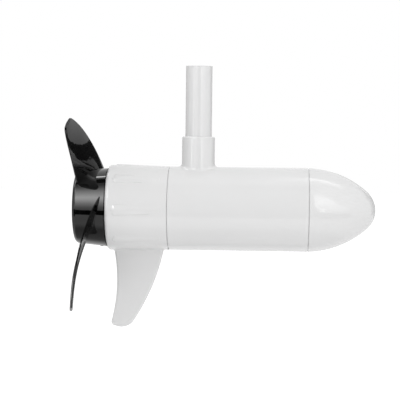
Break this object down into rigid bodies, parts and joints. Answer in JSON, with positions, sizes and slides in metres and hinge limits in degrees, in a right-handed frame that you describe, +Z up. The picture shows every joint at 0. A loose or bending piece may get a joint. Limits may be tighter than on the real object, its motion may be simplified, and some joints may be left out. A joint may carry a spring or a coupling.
{
  "type": "electric trolling motor",
  "caption": "Electric trolling motor lower unit: steering tube stub, sealed brushed motor in a bullet housing, tail skeg and a swept-back propeller.",
  "frame": {"origin": "centre of the steering tube's free (upper) end", "axes": "+Z up along the steering tube, +X forwards along the propeller shaft to the nose, +Y to port"},
  "size_m": [0.3239, 0.1916, 0.2833],
  "materials": {
    "housing_paint": "gloss",
    "tube_skin": "gloss",
    "propeller_plastic": "gloss",
    "stainless": "satin",
    "bright_brass": "satin",
    "bronze": "satin",
    "copper": "satin",
    "winding_enamel": "satin",
    "electrical_steel": "satin",
    "flux_steel": "satin",
    "ferrite": "matte",
    "seal_rubber": "matte",
    "board": "matte",
    "moulding": "matte",
    "carbon": "matte",
    "potting": "gloss",
    "lead_red": "satin",
    "lead_black": "satin",
    "insulation": "matte"
  },
  "bodies": {
    "lower_unit": {"center_housing": "housing_paint", "tail_housing": "housing_paint", "nose_cone": "housing_paint", "shaft_tube": "tube_skin", "thru_bolts": "stainless", "plate_screws": "stainless", "shaft_bushes": "bronze", "seal_rings": "seal_rubber", "shaft_seals": "seal_rubber", "flux_ring": "flux_steel", "magnet_port": "ferrite", "magnet_starboard": "ferrite", "brush_plate": "board", "brush_holder_top": "bright_brass", "brush_holder_bottom": "bright_brass", "brush_spring_top": "stainless", "brush_spring_bottom": "stainless", "bus_strip_positive": "bright_brass", "bus_strip_negative": "bright_brass", "lead_positive": "lead_red", "lead_negative": "lead_black", "lead_splices": "bright_brass", "lead_eyelets": "bright_brass", "potting_plug": "potting"},
    "rotor": {"motor_shaft": "stainless", "propeller": "propeller_plastic", "propeller_nut": "stainless", "propeller_washer": "stainless", "drive_pin": "stainless", "thrust_washers": "board", "armature_core": "electrical_steel", "core_insulators": "insulation", "armature_winding": "winding_enamel", "commutator_hub": "moulding", "commutator_bars": "copper"},
    "upper_brush": {"brush_top": "carbon"},
    "lower_brush": {"brush_bottom": "carbon"}
  },
  "joints": [
    {"name": "rotor_spin", "type": "hinge", "parent": "lower_unit", "child": "rotor", "pos_m": [0, 0, -0.153], "axis": [1, 0, 0], "continuous": true},
    {"name": "upper_brush_slide", "type": "slide", "parent": "lower_unit", "child": "upper_brush", "axis": [0, 0, 1], "range_m": [0, 0.003], "stiffness_N_per_m": 400, "springref_m": -0.006, "deforming": ["brush_spring_top"]},
    {"name": "lower_brush_slide", "type": "slide", "parent": "lower_unit", "child": "lower_brush", "axis": [0, 0, -1], "range_m": [0, 0.003], "stiffness_N_per_m": 400, "springref_m": -0.006, "deforming": ["brush_spring_bottom"]}
  ]
}
